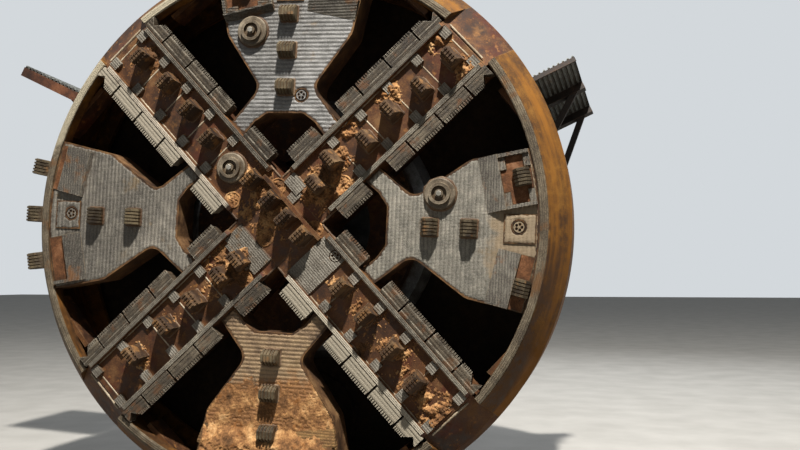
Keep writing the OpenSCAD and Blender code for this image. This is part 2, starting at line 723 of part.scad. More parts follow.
// Point on a deck, from its place outward, back and up in the deck's own frame
function deck_point(d, x, y, z) =
    let (u = [cos(d[2]), 0, sin(d[2])], n = [-sin(d[2]), 0, cos(d[2])],
         v = [0, cos(d[3]), 0] - sin(d[3]) * n, w = [0, sin(d[3]), 0] + cos(d[3]) * n)
    [(shell_r + d[1]) * cos(d[0]), deck_front, (shell_r + d[1]) * sin(d[0])] + x * u + y * v + z * w;

module deck_side(s) carrier_frame() mirror([s, 0, 0]) children();

// The frame of one deck: outward, back and up from its inner front corner
module deck_place(d) translate(deck_point(d, 0, 0, 0)) rotate([0, -d[2], 0]) rotate([-d[3], 0, 0]) children();

// Corrugated deck, drawn across its width and run along the machine
module deck(d) {
    folds = floor(d[4] / deck_pitch);
    pitch = d[4] / folds;
    function fold(y) = [for (i = [0:folds - 1]) each [
        [i * pitch, y], [(i + 0.38) * pitch, y],
        [(i + 0.5) * pitch, y + deck_fold_h], [(i + 0.88) * pitch, y + deck_fold_h]]];
    lower = concat(fold(0), [[d[4], 0]]);
    upper = [for (i = [len(lower) - 1:-1:0]) lower[i] + [0, deck_sheet]];
    deck_place(d) translate([0, deck_l, 0]) rotate([90, 0, 0]) linear_extrude(deck_l) polygon(concat(lower, upper));
}

// Edge bar, two beams and their knee braces under a deck, seated on the shell
module deck_frame(d) {
    inboard = 300;
    difference() {
        union() {
            deck_place(d) {
                box(0, d[4], -deck_edge_t, 0, -d[5], deck_sheet);
                for (p = BEAM_PLACES)
                    box(-inboard, d[4], p * deck_l, p * deck_l + beam, -beam, 0);
            }
            for (i = [0, 1]) {
                head = deck_point(d, knee_place * d[4], BEAM_PLACES[i] * deck_l + beam / 2, -beam / 2);
                foot = [(shell_r - beam) * cos(d[6][i]), head[1], (shell_r - beam) * sin(d[6][i])];
                run = head - foot;
                translate(foot) rotate([0, -atan2(run[2], run[0]), 0])
                    translate([0, -brace / 2, -brace / 2]) cube([norm(run), brace, brace]);
            }
        }
        rod_y(shell_r + seat, 0, overall_depth + past, big_fn);
    }
}

module deck_right() color("#8b8b86") deck_side(0) deck(DECK_RIGHT);
module deck_left() color("#8b8b86") deck_side(1) deck(DECK_LEFT);
module deck_frame_right() color("#2f2a28") deck_side(0) deck_frame(DECK_RIGHT);
module deck_frame_left() color("#5a3a26") deck_side(1) deck_frame(DECK_LEFT);

rim_drum();
rim_edge();
rim_band();
hub();
drive_flange();
bearing_spigot();
spoke(NE);  // spoke_ne
spoke(SE);  // spoke_se
spoke(SW);  // spoke_sw
spoke(NW);  // spoke_nw
panel(0, PORTS_N, PORT_PLATES_N);  // panel_n
panel(90, PORTS_E, PORT_PLATES_E);  // panel_e
panel(180, PORTS_S, PORT_PLATES_N);  // panel_s
panel(270, PORTS_W, PORT_PLATES_W);  // panel_w
scrapers(NE);  // scrapers_ne
scrapers(SE);  // scrapers_se
scrapers(SW);  // scrapers_sw
scrapers(NW);  // scrapers_nw
ripper_set(NE, RIPPERS_NE);  // rippers_ne
ripper_set(SE, RIPPERS_SE);  // rippers_se
ripper_set(SW, RIPPERS_SW);  // rippers_sw
ripper_set(NW, RIPPERS_NW);  // rippers_nw
rippers_hub();
panel_tools(0, PANEL_RIPPERS_N, [], GAUGE_N);  // panel_tools_n
panel_tools(90, PANEL_RIPPERS_E, [], GAUGE_E);  // panel_tools_e
panel_tools(180, PANEL_RIPPERS_S, GAUGE_X, GAUGE_S);  // panel_tools_s
panel_tools(270, PANEL_RIPPERS_W, GAUGE_X, GAUGE_W);  // panel_tools_w
gauge(0, GAUGE_N);  // gauge_n
gauge(90, GAUGE_E);  // gauge_e
gauge(180, GAUGE_S);  // gauge_s
gauge(270, GAUGE_W);  // gauge_w
wear_blocks();
nozzle_caps();
bucket_lips();
shell();
bulkhead();
bulkhead_ribs();
bearing_housing();
drive_units();
muck_port();
port_gate();
deck_right();
deck_left();
deck_frame_right();
deck_frame_left();
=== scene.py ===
import math
import bpy
import numpy as np
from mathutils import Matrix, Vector


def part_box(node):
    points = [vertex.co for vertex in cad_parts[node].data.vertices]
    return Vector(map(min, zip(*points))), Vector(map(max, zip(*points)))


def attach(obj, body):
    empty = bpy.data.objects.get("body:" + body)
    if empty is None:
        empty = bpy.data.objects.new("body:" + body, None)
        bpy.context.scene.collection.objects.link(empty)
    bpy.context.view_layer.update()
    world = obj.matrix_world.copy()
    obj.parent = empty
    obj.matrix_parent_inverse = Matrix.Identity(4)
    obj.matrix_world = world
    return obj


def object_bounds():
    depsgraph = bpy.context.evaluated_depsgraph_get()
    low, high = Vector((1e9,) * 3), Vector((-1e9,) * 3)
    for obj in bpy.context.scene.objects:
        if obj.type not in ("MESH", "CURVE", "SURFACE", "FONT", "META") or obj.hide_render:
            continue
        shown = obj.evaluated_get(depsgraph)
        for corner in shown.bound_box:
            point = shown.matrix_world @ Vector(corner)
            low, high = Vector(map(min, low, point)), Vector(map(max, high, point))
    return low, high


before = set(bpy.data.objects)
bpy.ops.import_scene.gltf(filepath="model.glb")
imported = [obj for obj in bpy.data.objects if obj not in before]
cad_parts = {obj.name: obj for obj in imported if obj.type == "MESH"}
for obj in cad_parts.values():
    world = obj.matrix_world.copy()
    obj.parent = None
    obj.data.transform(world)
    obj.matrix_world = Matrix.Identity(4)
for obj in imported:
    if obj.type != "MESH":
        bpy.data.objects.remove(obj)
cad_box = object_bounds()

# Camera: stands low in front of the head, a little to its right, and looks slightly up at it. A 40.5 mm
# lens from about 6.6 m gives the photograph's frame, with the drum's sides just inside it.
look_up, look_left = 3.44, 12.5
eye = bpy.data.objects.new("camera", bpy.data.cameras.new("camera"))
bpy.context.scene.collection.objects.link(eye)
eye.data.lens = 40.5
eye.data.clip_end = 200
eye.location = (2.283, -8.021, -0.416)
eye.rotation_euler = (math.radians(90 + look_up), 0, math.radians(look_left))
bpy.context.scene.camera = eye

# Studio: a pale floor under the drum, and three lamps. The key is small and high at the right, so that
# the tools throw hard shadows; the fill and the back lamp are wide and weak.
floor_z = cad_box[0][2] - 0.002
floor_corners = [(-60, -40, floor_z), (60, -40, floor_z), (60, 80, floor_z), (-60, 80, floor_z)]
plane = bpy.data.meshes.new("floor")
plane.from_pydata(floor_corners, [], [(0, 1, 2, 3)])
floor = bpy.data.objects.new("floor", plane)
bpy.context.scene.collection.objects.link(floor)
for name, place, aim, size, power, tint in (
    ("key", (3.4, -9.2, 14.0), (0, -1.6, 0), 0.6, 6300, (1.0, 0.97, 0.93)),
    ("fill", (-9.0, -10.0, 3.0), (0, -1.2, 0), 6.0, 60, (0.80, 0.88, 1.0)),
    ("back", (3.0, 9.0, 7.0), (0, -1.0, 0), 6.0, 650, (0.90, 0.94, 1.0)),
):
    lamp = bpy.data.objects.new(name, bpy.data.lights.new(name, "AREA"))
    lamp.data.size = size
    lamp.data.energy = power
    lamp.data.color = tint
    lamp.location = place
    lamp.rotation_euler = (Vector(aim) - Vector(place)).to_track_quat("-Z", "Y").to_euler()
    bpy.context.scene.collection.objects.link(lamp)
bpy.context.scene.view_settings.view_transform = "Standard"


def colour(code):
    """Linear RGBA of an sRGB hex code such as 8a5a26."""
    part = [int(code[i:i + 2], 16) / 255 for i in (0, 2, 4)]
    return [c / 12.92 if c <= 0.04045 else ((c + 0.055) / 1.055) ** 2.4 for c in part] + [1.0]


def add(tree, kind, *inputs, stops=(), out=0, **values):
    """Adds a shader node and returns one of its outputs, the first unless out names another.

    inputs fill its sockets in order, and values set its properties, or sockets by name: a socket is linked,
    a hex code becomes a colour, and anything else is set. stops are a colour ramp's (place, hex code) pairs.
    """
    made = tree.nodes.new("ShaderNode" + kind)
    pairs = list(zip(made.inputs, inputs))
    for key, value in values.items():
        if hasattr(made, key):
            setattr(made, key, value)
        else:
            pairs.append((made.inputs[key.replace("_", " ")], value))
    for socket, value in pairs:
        if isinstance(value, bpy.types.NodeSocket):
            tree.links.new(value, socket)
        else:
            socket.default_value = colour(value) if isinstance(value, str) else value
    for i, (spot, code) in enumerate(stops):
        band = made.color_ramp.elements
        stop = band[i] if i < len(band) else band.new(spot)
        stop.position = spot
        stop.color = colour(code)
    return made.outputs[out]


# World: a weak cool light all round, which camera and glossy rays see as a pale backdrop. It is kept
# weak so that the shadows stay nearly black.
dim_light = (0.078, 0.084, 0.093, 1)
world = bpy.data.worlds.new("world")
bpy.context.scene.world = world
world.use_nodes = True
seen = add(world.node_tree, "Math", add(world.node_tree, "LightPath", out="Is Camera Ray"),
           add(world.node_tree, "LightPath", out="Is Glossy Ray"), operation="MAXIMUM")
backdrop = add(world.node_tree, "MixRGB", seen, dim_light, "d3d8dc")
world.node_tree.links.new(backdrop, world.node_tree.nodes["Background"].inputs["Color"])

# Floor: matt concrete paint, rolled on, which gives a pale even grey with a faint mottle. It throws less
# light up than it shows, so that the undersides stay dark.
pale = bpy.data.materials.new("floor_paint")
pale.use_nodes = True
speck = add(pale.node_tree, "TexNoise", add(pale.node_tree, "TexCoord", out="Object"), Scale=2.0, Detail=6)
tint = add(pale.node_tree, "ValToRGB", speck, stops=((0.3, "a6a39c"), (0.7, "b4b1aa")))
seen = add(pale.node_tree, "Math", add(pale.node_tree, "LightPath", out="Is Camera Ray"),
           add(pale.node_tree, "LightPath", out="Is Glossy Ray"), operation="MAXIMUM")
tint = add(pale.node_tree, "MixRGB", seen, "474541", tint)
pale.node_tree.links.new(tint, pale.node_tree.nodes["Principled BSDF"].inputs["Base Color"])
pale.node_tree.nodes["Principled BSDF"].inputs["Roughness"].default_value = 0.85
plane.materials.append(pale)

# Drum and front edge: the rolled steel plate that carries the head, welded and left bare. Soil has
# scoured it round and round, so that bright ochre rust lies in streaks along its turning direction.
head_turn = 2.66  # degrees that the head is turned at rest, clockwise from the front


def steel(name, tones, edge, corner_soil_and_shade, metal=0.1, rough=(0.5, 0.85), patch=1.3, turn=head_turn, beads=None,
          film=None, stains=(), streaks=None, soil_and_shade_strength=0.85, relief_m=0.0036, shine=0.28,
          steps=(0.0, 0.4, 0.7, 1.0)):
    """Weathered steel in the object's own coordinates, turned by turn degrees about the machine's axis.

    tones run from dark to light, at steps, with a mix of noises of about 1/patch m, 70 mm and 9 mm. edge is
    the colour of edges worn 6 mm wide, which a bevel finds. corner_soil_and_shade is the colour of soiling
    and painted shade in corners up to 110 mm deep, which ambient occlusion finds, as strong as
    soil_and_shade_strength. beads = (axis, pitch, depth) lays weld beads across X or Z, or as rings for R,
    with ripples along them and a tone for each bead; depth also sets the painted shade in the valleys
    between beads and the painted highlight on the ripples' crests. stains = (colour, share, size) lays spots
    of that size in metres. streaks = (colour, share) lays lines round the axis. film = (colour, axis, from,
    to) is a layer that thickens between two places along an axis. relief_m is the height of the bump in
    metres.
    shine is the share of clear reflection, 0.5 for clean metal and less for rust and mud.
    """
    made = bpy.data.materials.new(name)
    made.use_nodes = True
    tree = made.node_tree
    shader = tree.nodes["Principled BSDF"]
    place = add(tree, "Mapping", add(tree, "TexCoord", out="Object"), Rotation=(0, math.radians(-turn), 0))
    wide = add(tree, "TexNoise", place, Scale=patch, Detail=6, Roughness=0.62)
    mid = add(tree, "TexNoise", place, Scale=14, Detail=5, Roughness=0.6)
    fine = add(tree, "TexNoise", place, Scale=110, Detail=4, Roughness=0.7)
    wide_share, mid_share, fine_share = 0.46, 0.3, 0.24
    grain = add(tree, "Math", fine, fine_share, operation="MULTIPLY")
    grain = add(tree, "Math", mid, mid_share, grain, operation="MULTIPLY_ADD")
    blend = add(tree, "Math", wide, wide_share, grain, operation="MULTIPLY_ADD")
    relief = add(tree, "Math", fine, 0.35, operation="MULTIPLY")
    relief = add(tree, "Math", mid, 0.5, relief, operation="MULTIPLY_ADD")
    centred = add(tree, "Math", mid, 0.5, operation="SUBTRACT")
    if beads:
        axis, pitch, depth = beads
        lay = 0.31416  # the wave texture's scale that lays one band on each metre
        lane = place
        if axis == "R":
            flat = add(tree, "VectorMath", place, (1, 0, 1), operation="MULTIPLY")
            around = add(tree, "Math", add(tree, "SeparateXYZ", place, out="X"),
                         add(tree, "SeparateXYZ", place, out="Z"), operation="ARCTAN2")
            around = add(tree, "Math", around, 1.9, operation="MULTIPLY")
            away = add(tree, "VectorMath", flat, operation="LENGTH", out="Value")
            lane = add(tree, "CombineXYZ", away, 0.0, around)
            axis = "X"
        stretch = (1 / pitch, 12, 11) if axis == "X" else (11, 12, 1 / pitch)
        row = add(tree, "Mapping", lane, Scale=stretch)
        row = add(tree, "TexNoise", row, Scale=0.9, Detail=3, Roughness=0.6)
        blend = add(tree, "Math", row, 0.19, blend, operation="MULTIPLY_ADD")
        blend = add(tree, "Math", blend, 0.84, operation="MULTIPLY")
        wave = add(tree, "TexWave", lane, bands_direction=axis, Scale=lay / pitch, Distortion=0.5,
                   Detail=2.0, Detail_Scale=1.5, out="Fac")
        ripple = add(tree, "TexWave", lane, bands_direction="X" if axis == "Z" else "Z", Distortion=5.0,
                     Detail=2.0, Scale=lay / (pitch * 0.33), Detail_Scale=4.0, out="Fac")
    level = add(tree, "MapRange", blend, 0.36, 0.64, interpolation_type="SMOOTHSTEP")
    skin = add(tree, "ValToRGB", level, stops=zip(steps, tones))
    if beads:
        # Painted shade and highlight: the valleys between beads take the darkest tone, and the ripples'
        # crests, where the fine noise is high, take the lightest.
        valley_shade = add(tree, "MapRange", wave, 0.5, 0.05, 0.0, depth, interpolation_type="SMOOTHSTEP")
        skin = add(tree, "MixRGB", valley_shade, skin, tones[0])
        crest_highlight = add(tree, "MapRange", fine, 0.45, 0.62, 0.0, depth, interpolation_type="SMOOTHSTEP")
        skin = add(tree, "MixRGB", add(tree, "Math", ripple, crest_highlight, operation="MULTIPLY"), skin, tones[-1])
        relief = add(tree, "Math", wave, 1.4 * depth, relief, operation="MULTIPLY_ADD")
        relief = add(tree, "Math", ripple, 1.3 * depth, relief, operation="MULTIPLY_ADD")
    for tint, share, size in stains:
        spots = add(tree, "TexNoise", place, Scale=1 / size, Detail=7, Roughness=0.66)
        spots = add(tree, "MapRange", spots, 0.62 - 0.2 * share, 0.74 - 0.2 * share, 0.0, 0.8,
                    interpolation_type="SMOOTHSTEP")
        skin = add(tree, "MixRGB", spots, skin, tint)
    if streaks:
        tint, share = streaks
        lines = add(tree, "Mapping", place, Scale=(0.6, 7, 0.6))
        lines = add(tree, "TexNoise", lines, Detail=4, Scale=1.3, Roughness=0.5)
        lines = add(tree, "MapRange", lines, 0.62 - 0.25 * share, 0.86 - 0.25 * share, 0.0, 0.85,
                    interpolation_type="SMOOTHSTEP")
        skin = add(tree, "MixRGB", lines, skin, tint)
    if film:
        tint, axis, low, high = film
        rise = add(tree, "MapRange", add(tree, "SeparateXYZ", place, out=axis), low, high, -0.8, 0.2,
                   interpolation_type="SMOOTHSTEP")
        cover = add(tree, "Math", wide, 1.6, rise, operation="MULTIPLY_ADD")
        cover = add(tree, "Math", cover, centred, operation="ADD")
        cover = add(tree, "MapRange", cover, 0.35, 0.75, 0.0, 0.85, interpolation_type="SMOOTHSTEP")
        skin = add(tree, "MixRGB", cover, skin, tint)
    worn_m, corner_m = 0.006, 0.11
    turned = add(tree, "VectorMath", add(tree, "NewGeometry", out="Normal"),
                 add(tree, "Bevel", samples=4, Radius=worn_m), operation="DOT_PRODUCT", out="Value")
    turned = add(tree, "MapRange", turned, 0.995, 0.90, 0.0, 0.7, interpolation_type="SMOOTHSTEP")
    chipped = add(tree, "MapRange", mid, 0.35, 0.6, interpolation_type="SMOOTHSTEP")
    skin = add(tree, "MixRGB", add(tree, "Math", turned, chipped, operation="MULTIPLY"), skin, edge)
    # Painted shade: corners and recesses that ambient occlusion finds take the corner colour, mixed with the
    # middle noise as real soiling.
    shade = add(tree, "AmbientOcclusion", samples=6, Distance=corner_m, out="AO")
    shade = add(tree, "Math", centred, 0.9, shade, operation="MULTIPLY_ADD")
    shade = add(tree, "MapRange", shade, 0.78, 0.35, 0.0, soil_and_shade_strength, interpolation_type="SMOOTHSTEP")
    skin = add(tree, "MixRGB", shade, skin, corner_soil_and_shade)
    gloss = add(tree, "Math", add(tree, "Math", fine, mid, operation="ADD"), 0.5, operation="MULTIPLY")
    gloss = add(tree, "MapRange", gloss, 0.35, 0.65, *rough)
    shader.inputs["Metallic"].default_value = metal
    shader.inputs["Specular IOR Level"].default_value = shine
    tree.links.new(skin, shader.inputs["Base Color"])
    tree.links.new(gloss, shader.inputs["Roughness"])
    bump = add(tree, "Bump", Height=relief, Distance=relief_m, Strength=1.0)
    tree.links.new(bump, shader.inputs["Normal"])
    return made


def dress(material, *names):
    """Gives CAD nodes their material."""
    for name in names:
        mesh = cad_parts[name].data
        mesh.materials.clear()
        mesh.materials.append(material)


drum_ochre = steel("drum_ochre", ("2a1a0a", "4d3114", "6a461a", "875e28"), "9c7746", "26180c", metal=0.03,
                   rough=(0.55, 0.9), patch=0.8, stains=(("3a2412", 0.45, 0.55),), streaks=("94601f", 0.6))
dress(drum_ochre, "rim_drum", "rim_edge")

# Rim band: hardfacing in rings on the drum's front edge, one weld run beside the next. It is dull
# grey-brown, with fine lines round the edge, and dry cream dust on it at the upper left window.
spoke_turn = head_turn + 45
band_facing = steel("band_hardfacing", ("3c3227", "615543", "7f725d", "a0937c"), "a8987c", "4c3823",
                    metal=0.08, rough=(0.5, 0.8), patch=3, turn=spoke_turn, beads=("R", 0.014, 0.5),
                    stains=(("74502c", 0.4, 0.25),), film=("b9ae94", "X", -1.45, -1.85))
dress(band_facing, "rim_band")

# Spokes, hub and inner plates: thick plate, cut by flame and welded. Its brown rust has maroon and ochre
# patches and edges worn pale, and its corners take dust and painted shade.
brown = steel("rusty_plate", ("1b110a", "392314", "573820", "775736"), "94805f", "6a4526", metal=0.04,
              rough=(0.5, 0.85), patch=2.2,
              stains=(("471f10", 0.5, 0.24), ("74502c", 0.25, 0.3), ("8d6133", 0.3, 0.06)))
dress(brown, "hub", "spoke_ne", "spoke_se", "spoke_sw", "spoke_nw", "drive_flange", "bucket_lips",
      "bulkhead_ribs")
face_y = -1.8  # the plane of the head's face


def on_head(angle, lateral, radius, height):
    """Points on the head, from a place across and along the spoke or panel at a clock angle, and a height.

    Lateral and radius turn about the machine's axis by the clock angle plus the head's rest angle, and
    height runs from the face to -Y.
    """
    t = np.radians(angle + head_turn)
    return np.stack(np.broadcast_arrays(lateral * np.cos(t) + radius * np.sin(t), face_y - height,
                                        -lateral * np.sin(t) + radius * np.cos(t)), axis=-1)


def waves(u, v, size, seed):
    """Smooth noise, mostly between -1 and 1: a fifth of the sum of 24 sines in random directions, with
    lengths from 0.5 to 2 sizes."""
    dice = np.random.default_rng(seed)
    count, circle = 24, 6.283
    turns = dice.uniform(0, circle, count)
    lengths = dice.uniform(0.5, 2, count)
    phases = dice.uniform(0, circle, count)
    total = 0
    for turn, length, phase in zip(turns, lengths, phases):
        total = total + np.sin(circle / (size * length) * (u * np.cos(turn) + v * np.sin(turn)) + phase)
    return total / 5


def sheets(name, grids, material, body="head", smooth=True):
    """A piece from grids of points [rows, columns, 3] with a keep mask each; quads join kept neighbours."""
    points, faces, first = [], [], 0
    for grid, keep in grids:
        rows, columns = keep.shape
        index = first + np.arange(rows * columns).reshape(rows, columns)
        quad = np.stack([index[:-1, :-1], index[:-1, 1:], index[1:, 1:], index[1:, :-1]], axis=-1)
        whole = keep[:-1, :-1] & keep[:-1, 1:] & keep[1:, 1:] & keep[1:, :-1]
        points.append(grid.reshape(-1, 3))
        faces.append(quad[whole])
        first += rows * columns
    points, faces = np.concatenate(points), np.concatenate(faces)
    used, faces = np.unique(faces, return_inverse=True)
    mesh = bpy.data.meshes.new(name)
    mesh.from_pydata(points[used].tolist(), [], faces.reshape(-1, 4).tolist())
    mesh.polygons.foreach_set("use_smooth", np.full(len(mesh.polygons), smooth))
    mesh.materials.append(material)
    piece = bpy.data.objects.new(name, mesh)
    bpy.context.scene.collection.objects.link(piece)
    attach(piece, body)


# Panels: thick brown plates whose faces carry hardfacing, laid in straight weld beads 30 mm apart that
# stop short of the plate's edge. The beads are low rounded ridges with a little wander, and dip under
# the plate where they end.
panel_plate = steel("panel_plate", ("20150c", "422e1d", "60452c", "7f6140"), "a47840", "2e1e12", metal=0.03,
                    rough=(0.55, 0.9), patch=2.5)
dress(panel_plate, "panel_n", "panel_e", "panel_s", "panel_w")
# Right half of a panel's outline, from the hub outwards: lateral, radius along the panel, corner radius
panel_corners = ((0.140, 0.805, 0.05), (0.235, 0.737, 0.03), (0.3152, 0.6352, 0), (0.4142, 0.7342, 0),
                 (0.207, 0.995, 0.10), (0.485, 1.390, 0.12), (0.634, 2.100, 0))
facing_end = 1.885
bead_pitch, bead_gap, bead_tall = 0.030, 0.012, 0.0026
port_r, plug_r, jet_ring, jet_r = 0.042, 0.0375, 0.0207, 0.0095
plate_top = 0.012


def outline(corners):
    """Points of a list of corners [x, z, radius]; a rounded one is 9 points on a curve between its sides."""
    path = []
    for a, b, c in zip((corners[-1],) + corners[:-1], corners, corners[1:] + (corners[0],)):
        a, b, c, r = np.array(a[:2]), np.array(b[:2]), np.array(c[:2]), b[2]
        u, v = (a - b) / np.linalg.norm(a - b), (c - b) / np.linalg.norm(c - b)
        half = np.arccos(np.clip(u @ v, -1, 1)) / 2
        s = np.linspace(0, 1, 9 if r else 1)[:, None]
        path.append(b + r / np.tan(half) * (u * (1 - s) ** 2 + v * s ** 2))
    return np.concatenate(path)


def inside(path, x, z):
    """Distance from each point to the closed path, positive inside: the least distance to its sides, with
    the sign from how often a ray to the right crosses them."""
    best, crossed = np.full(x.shape, 9.0), np.zeros(x.shape, dtype=bool)
    for (x0, z0), (x1, z1) in zip(path, np.roll(path, -1, axis=0)):
        square = (x1 - x0) ** 2 + (z1 - z0) ** 2 + 1e-12
        along = np.clip(((x - x0) * (x1 - x0) + (z - z0) * (z1 - z0)) / square, 0, 1)
        best = np.minimum(best, np.hypot(x - x0 - along * (x1 - x0), z - z0 - along * (z1 - z0)))
        if z0 != z1:
            crossed ^= ((z0 > z) != (z1 > z)) & (x < x0 + (z - z0) * (x1 - x0) / (z1 - z0))
    return np.where(crossed, best, -best)


vase = outline(panel_corners + tuple((-x, z, r) for x, z, r in reversed(panel_corners)))
for panel, angle, axis, tones, ports, plate, film in (
    ("n", 0, "Z", ("4c4a46", "6b6965", "807e7a", "a09e9a"), ((0.118, 0.938), (0, 1.745)),
     (-0.105, 0.105, 1.640, 1.866), None),
    ("e", 90, "X", ("4b473e", "6b675d", "817c70", "9f988a"), ((-0.022, 1.745),),
     (-0.112, 0.092, 1.640, 1.866), ("8d7a5f", "X", 1.40, 1.75)),
    ("s", 180, "Z", ("554636", "7b654e", "987f61", "b49a77"), ((0.311, 1.257), (0, 1.745)),
     (-0.105, 0.105, 1.640, 1.866), ("8c5f36", "Z", -0.95, -1.40)),
    ("w", 270, "X", ("46423b", "645f56", "787267", "968f82"), ((0.012, 1.690),),
     (-0.105, 0.108, 1.615, 1.820), None),
):
    grids = []
    for x0, x1, z0, z1, base in ((-0.62, 0.62, 0.64, 1.88, 0), plate + (plate_top,)):
        x, z = np.meshgrid(np.arange(x0, x1, 0.0088), np.arange(z0, z1, 0.0050))
        room = np.minimum(inside(vase, x, z), facing_end - np.hypot(x, z))
        if base:
            room = np.minimum(np.minimum(x - x0, x1 - x), np.minimum(z - z0, z1 - z)) + 0.006
        for px, pz in ports:
            room = np.minimum(room, np.hypot(x - px, z - pz) - port_r)
        wander = z + 0.0025 * waves(x, z, 0.35, angle)
        ridge = np.sqrt(np.abs(np.sin(math.pi * wander / bead_pitch)))
        ridge = ridge * (1 + 0.35 * waves(x, z, 0.06, angle + 1))
        cover = np.clip((room - bead_gap - 0.003 * waves(x * 3, z, 0.08, angle + 2)) / 0.006, 0, 1)
        grid = on_head(angle, x, z, base - 0.003 + cover * (0.0045 + bead_tall * ridge))
        grids.append((grid, room > 0.003))
    for px, pz in ports:
        top = 0.0125 if pz > 1.6 else 0.0005
        ring, turn = np.meshgrid(np.linspace(0.001, plug_r, 22), np.linspace(2 * math.pi, 0, 73),
                                 indexing="ij")
        x, z = ring * np.sin(turn), ring * np.cos(turn)
        jets = [np.hypot(x - jet_ring * math.sin(t), z - jet_ring * math.cos(t))
                for t in np.arange(5) * 2 * math.pi / 5]
        grids.append((on_head(angle, px + x, pz + z, top + 0 * ring), np.min(jets, axis=0) > jet_r))
    facing = steel("hardfacing_" + panel, tones, "aaa598", "5e4a34", metal=0.16, rough=(0.34, 0.66),
                   beads=(axis, bead_pitch, 0.4), film=film, soil_and_shade_strength=0.4, stains=(("76603f", 0.15, 0.35),),
                   steps=(0.0, 0.35, 0.65, 1.0))
    sheets("hardfacing_" + panel, grids, facing)

# Gauge ramps: forged blocks at the panels' outer ends, with finer weld beads and rust between them. The
# lower pair lies under dried mud.
for panel, axis, names in (("n", "Z", ("gauge_n",)), ("e", "X", ("gauge_e", "gauge_w"))):
    ramp = steel("ramp_" + panel, ("35302a", "554f46", "6e685d", "8f897c"), "a8977a", "5e452c", metal=0.12,
                 rough=(0.4, 0.7), beads=(axis, 0.02, 0.6), stains=(("7a5330", 0.35, 0.16),))
    dress(ramp, *names)
dress(steel("ramp_s", ("3d2d1b", "64492c", "84633d", "a08051"), "a8875a", "4a331d", metal=0.02,
            rough=(0.7, 0.9), beads=("Z", 0.02, 0.4)), "gauge_s")

# Pocket plates: orange-brown rust on the plates behind the gauge ramps, where nothing rubs. Each sheet
# lies a millimetre over its plate, as scale does, and stops short of the pads in the pocket's corners.
bar, pad_w, pad_l, seat = 0.026, 0.092, 0.046, 0.003
pocket_end, scale_top = 1.877, 0.0112
pockets = []
for angle, tilt, back, left, right, bars in (
    (0, -12.2, 1.612, -0.175, 0.215, 2), (0, 12.2, 1.700, -0.200, 0.175, 0),
    (90, -12.2, 1.650, -0.175, 0.215, 2), (90, 12.2, 1.762, -0.215, 0.175, 0),
    (270, -12.2, 1.738, -0.150, 0.215, 1), (270, 12.2, 1.810, -0.200, 0.150, 0),
):
    front = math.sqrt(pocket_end ** 2 - max(-left, right) ** 2)
    x0, x1 = left + bar * (bars > 0), right - bar * (bars > 1)
    corners = ((pad_w, 0), (0, pad_l)) if bars == 2 else ((0, 0),)
    for side, end in corners:
        x, z = np.meshgrid(np.linspace(x0 + side + seat, x1 - side - seat, 60),
                           np.linspace(back + end + seat, front - end - seat, 50))
        grid = on_head(angle + tilt, x, z, scale_top + 0.0006 * waves(x, z, 0.03, angle))
        pockets.append((grid, np.ones(x.shape, dtype=bool)))
scale = steel("scaled_rust", ("34200f", "593820", "744c2f", "8d674a"), "a5764a", "3f2817", metal=0.0,
              rough=(0.7, 0.92), patch=5.0, soil_and_shade_strength=0.6)
sheets("pocket_rust", pockets, scale)

# Wear pads and hub plates: flat blocks faced with weld metal and welded down in pairs. They are the
# palest grey on the spokes, with dust and painted shade in their corners.
dress(steel("wear_grey", ("574f43", "777064", "928b7d", "b0aa9d"), "c4baa6", "6b4f34", metal=0.12,
            rough=(0.45, 0.75), beads=("Z", 0.018, 0.5), turn=spoke_turn, stains=(("7d5c38", 0.2, 0.12),)),
      "wear_blocks")

# Scrapers: cast teeth bolted along the spokes, faced with lines of weld metal. They are dusty
# grey-brown, and the rows that point to the lower left are worn bright.
for spoke, axis, film, rust in (
    ("ne", "X", None, 0.5), ("se", "Z", ("aba18d", "Z", 0.05, -0.3), 0.7),
    ("sw", "X", None, 0.45), ("nw", "Z", ("a89e8b", "Z", 0.05, -0.3), 0.3),
):
    cast = steel("scraper_" + spoke, ("231c14", "3b3328", "53493b", "766b59"), "c2b9a6", "3f3020",
                 metal=0.08, rough=(0.45, 0.8), turn=spoke_turn, beads=(axis, 0.026, 0.34), film=film,
                 stains=(("5f3f24", rust, 0.1), ("40382d", 0.34, 0.02)))
    dress(cast, "scrapers_" + spoke)

# Ledge bars: the step on which a row of scrapers sits, with a run of weld metal on top of each. Those
# beside the worn rows are as bright as the rows.
ledge_mid, ledge_half, ledge_inner, ledge_top = 0.208, 0.018, 0.19, 0.0455
line_pitch = 0.012
for spoke, angle, axis, film in (
    ("ne", 45, "X", None), ("se", 135, "Z", ("c4b9a4", "Z", 0.05, -0.3)),
    ("sw", 225, "X", None), ("nw", 315, "Z", ("bfb29e", "Z", 0.05, -0.3)),
):
    grids = []
    for side in (-1, 1):
        x, z = np.meshgrid(np.linspace(-ledge_half, ledge_half, 13) + side * ledge_mid,
                           np.arange(0.348, 1.818, 0.006))
        ridge = np.sqrt(np.abs(np.sin(math.pi * (x - ledge_inner) / line_pitch)))
        ridge = ridge * (1 + 0.3 * waves(x, z, 0.05, angle + side))
        edge = np.clip((ledge_half - np.abs(x - side * ledge_mid)) / 0.004, 0, 1)
        grid = on_head(angle, x, z, ledge_top + edge * (0.001 + 0.003 * ridge))
        grids.append((grid, np.ones(x.shape, dtype=bool)))
    facing = steel("ledge_" + spoke, ("3d372f", "5e574c", "787164", "99917f"), "a89d88", "4c3b28",
                   metal=0.12, rough=(0.4, 0.7), turn=spoke_turn, beads=(axis, line_pitch, 0.3), film=film)
    sheets("ledge_facing_" + spoke, grids, facing)

